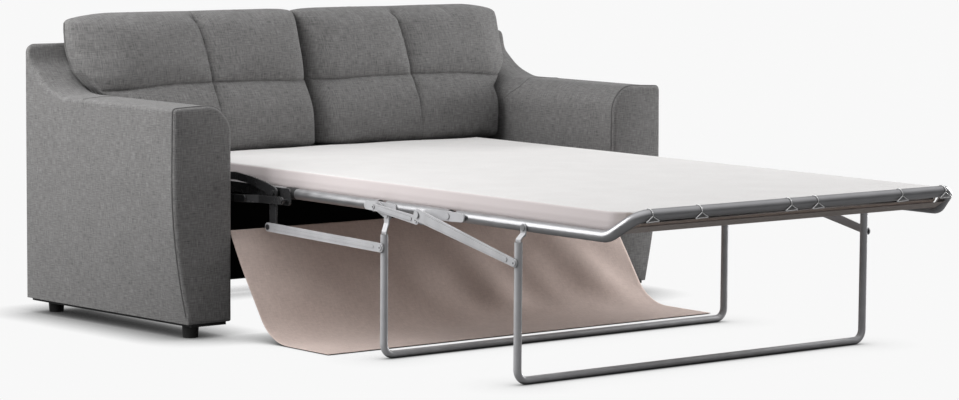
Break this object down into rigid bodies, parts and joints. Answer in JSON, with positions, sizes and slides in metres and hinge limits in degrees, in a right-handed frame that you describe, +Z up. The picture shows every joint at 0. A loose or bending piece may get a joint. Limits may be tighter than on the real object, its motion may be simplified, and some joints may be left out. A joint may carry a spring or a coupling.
{
  "type": "sofa bed",
  "caption": "Two-seat sleeper sofa shown with its folding metal bed frame and thin mattress pulled out between upholstered arms with raised back corners and tufted back cushions.",
  "frame": {"origin": "on the floor, midway between the arms and midway between the back of the sofa and the foot of the opened bed", "axes": "+Z up, +Y from the foot of the bed to the back of the sofa, +X to the right as seen from the foot of the bed"},
  "size_m": [1.88, 2.436, 0.922],
  "materials": {
    "upholstery": "grey linen-look weave",
    "black_plastic": "matt black",
    "black_lining": "black non-woven lining",
    "dust_cloth": "taupe woven polypropylene cloth",
    "dark_steel": "dark satin coat",
    "silver_steel": "silver-grey satin coat",
    "deck_fabric": "woven deck cloth",
    "mattress": "off-white mattress ticking"
  },
  "bodies": {
    "root": {"left_arm": "upholstery", "right_arm": "upholstery", "left_arm_facing": "upholstery", "right_arm_facing": "upholstery", "feet": "black_plastic", "base_strips": "black_lining", "well_linings": "black_lining", "outside_back": "upholstery", "well_back_panel": "black_lining", "back_frame": "upholstery", "left_back_cushion": "upholstery", "right_back_cushion": "upholstery", "left_side_plate": "dark_steel", "right_side_plate": "dark_steel", "dust_cloth": "dust_cloth"},
    "swing_arms": {"left_swing_arm": "dark_steel", "right_swing_arm": "dark_steel"},
    "control_links": {"left_control_link": "dark_steel", "right_control_link": "dark_steel"},
    "drag_links": {"left_drag_link": "silver_steel", "right_drag_link": "silver_steel"},
    "bed_body": {"left_body_rail": "silver_steel", "right_body_rail": "silver_steel", "rear_cross_tube": "silver_steel", "front_cross_tube": "silver_steel", "left_pivot_plate": "dark_steel", "right_pivot_plate": "dark_steel", "left_body_hinge_plate": "silver_steel", "right_body_hinge_plate": "silver_steel", "body_deck": "deck_fabric", "mattress_body": "mattress"},
    "bed_head": {"head_frame": "silver_steel", "left_head_hinge_plate": "silver_steel", "right_head_hinge_plate": "silver_steel", "head_deck": "deck_fabric", "mattress_head": "mattress"},
    "rear_legs": {"rear_leg_frame": "silver_steel"},
    "bed_middle": {"left_middle_rail": "silver_steel", "right_middle_rail": "silver_steel", "left_middle_hinge_plate": "silver_steel", "right_middle_hinge_plate": "silver_steel", "left_middle_stiffener": "silver_steel", "right_middle_stiffener": "silver_steel", "middle_deck": "deck_fabric", "mattress_middle": "mattress"},
    "bed_foot": {"foot_frame": "silver_steel", "left_foot_hinge_plate": "silver_steel", "right_foot_hinge_plate": "silver_steel", "foot_deck": "deck_fabric", "mattress_foot": "mattress"},
    "front_legs": {"front_leg_frame": "silver_steel"},
    "leg_braces": {"left_leg_brace": "silver_steel", "right_leg_brace": "silver_steel"}
  },
  "joints": [
    {"name": "retract", "type": "hinge", "parent": "root", "child": "swing_arms", "pos_m": [0, 0.678, 0.416], "axis": [1, 0, 0], "range_deg": [0, 120], "deforming": ["dust_cloth"]},
    {"name": "control_link_pivot", "type": "hinge", "parent": "root", "child": "control_links", "pos_m": [0, 0.628, 0.396], "axis": [1, 0, 0], "range_deg": [0, 120]},
    {"name": "bed_level", "type": "hinge", "parent": "swing_arms", "child": "bed_body", "pos_m": [0, 0.313, 0.425], "axis": [1, 0, 0], "range_deg": [-120, 0]},
    {"name": "head_fold", "type": "hinge", "parent": "bed_body", "child": "bed_head", "pos_m": [0, 0.628, 0.425], "axis": [1, 0, 0], "range_deg": [0, 90]},
    {"name": "rear_leg_fold", "type": "hinge", "parent": "bed_body", "child": "rear_legs", "pos_m": [0, -0.224, 0.405], "axis": [1, 0, 0], "range_deg": [0, 87.5]},
    {"name": "drag_link_pivot", "type": "hinge", "parent": "swing_arms", "child": "drag_links", "pos_m": [0, 0.313, 0.325], "axis": [1, 0, 0], "range_deg": [-113.18, 0]},
    {"name": "fold", "type": "hinge", "parent": "bed_body", "child": "bed_middle", "pos_m": [0, -0.177, 0.425], "axis": [1, 0, 0], "range_deg": [-90, 0]},
    {"name": "foot_fold", "type": "hinge", "parent": "bed_middle", "child": "bed_foot", "pos_m": [0, -0.492, 0.425], "axis": [1, 0, 0], "range_deg": [-90, 0]},
    {"name": "front_leg_fold", "type": "hinge", "parent": "bed_foot", "child": "front_legs", "pos_m": [0, -0.807, 0.421], "axis": [1, 0, 0], "range_deg": [-88, 0]},
    {"name": "brace_pivot", "type": "hinge", "parent": "bed_middle", "child": "leg_braces", "pos_m": [0, -0.3925, 0.421], "axis": [1, 0, 0], "range_deg": [-87.96, 0]}
  ],
  "couplings": [
    {"joint": "control_link_pivot", "follows": "retract", "ratio": 1},
    {"joint": "bed_level", "follows": "retract", "ratio": -1},
    {"joint": "head_fold", "follows": "retract", "ratio": 0.75},
    {"joint": "rear_leg_fold", "follows": "retract", "ratio": 0.72917},
    {"joint": "drag_link_pivot", "follows": "retract", "ratio": -0.9432},
    {"joint": "foot_fold", "follows": "fold", "ratio": 1},
    {"joint": "front_leg_fold", "follows": "fold", "ratio": 0.97778},
    {"joint": "brace_pivot", "follows": "fold", "ratio": 0.9773}
  ]
}
